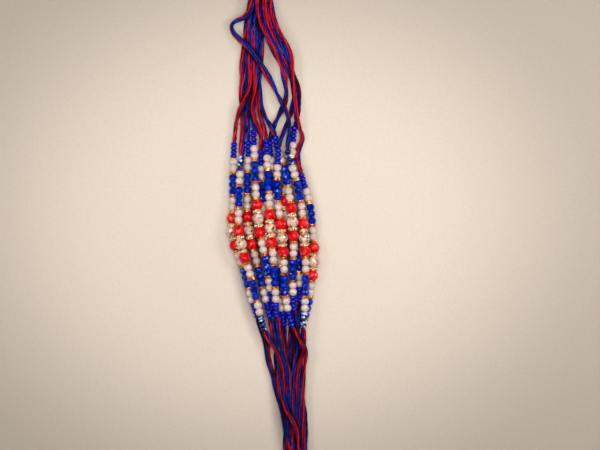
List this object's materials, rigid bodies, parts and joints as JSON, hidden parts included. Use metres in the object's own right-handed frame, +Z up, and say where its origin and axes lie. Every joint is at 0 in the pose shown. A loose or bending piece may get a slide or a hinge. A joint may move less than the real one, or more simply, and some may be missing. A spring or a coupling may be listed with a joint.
{
  "type": "beaded thread bracelet",
  "caption": "Tie-on festival wrist band: strings of small faceted glass beads side by side on red and blue threads, lying untied with both tails drawn together",
  "frame": {"origin": "on the surface that the bracelet lies on, under the middle of the beads", "axes": "+Y runs along the strings towards the top of the picture, +X to its right, +Z up from the surface"},
  "size_m": [0.0516, 0.296, 0.0123],
  "materials": {
    "thread": "satin",
    "small_beads": "gloss",
    "red_beads": "gloss",
    "crystal": "gloss",
    "binding": "satin"
  },
  "bodies": {
    "root": {"thread_01": "thread", "small_beads_01": "small_beads", "red_beads_01": "red_beads", "crystal_bead_01": "crystal", "thread_02": "thread", "small_beads_02": "small_beads", "red_beads_02": "red_beads", "crystal_bead_02": "crystal", "thread_03": "thread", "small_beads_03": "small_beads", "red_beads_03": "red_beads", "crystal_bead_03": "crystal", "thread_04": "thread", "small_beads_04": "small_beads", "red_beads_04": "red_beads", "crystal_bead_04": "crystal", "thread_05": "thread", "small_beads_05": "small_beads", "red_beads_05": "red_beads", "crystal_bead_05": "crystal", "thread_06": "thread", "small_beads_06": "small_beads", "red_beads_06": "red_beads", "crystal_bead_06": "crystal", "thread_07": "thread", "small_beads_07": "small_beads", "red_beads_07": "red_beads", "crystal_bead_07": "crystal", "thread_08": "thread", "small_beads_08": "small_beads", "red_beads_08": "red_beads", "crystal_bead_08": "crystal", "thread_09": "thread", "small_beads_09": "small_beads", "red_beads_09": "red_beads", "crystal_bead_09": "crystal", "thread_10": "thread", "small_beads_10": "small_beads", "red_beads_10": "red_beads", "crystal_bead_10": "crystal", "thread_11": "thread", "small_beads_11": "small_beads", "red_beads_11": "red_beads", "crystal_bead_11": "crystal", "thread_12": "thread", "small_beads_12": "small_beads", "red_beads_12": "red_beads", "crystal_bead_12": "crystal", "knot_top": "binding", "knot_bottom": "binding"}
  },
  "joints": []
}
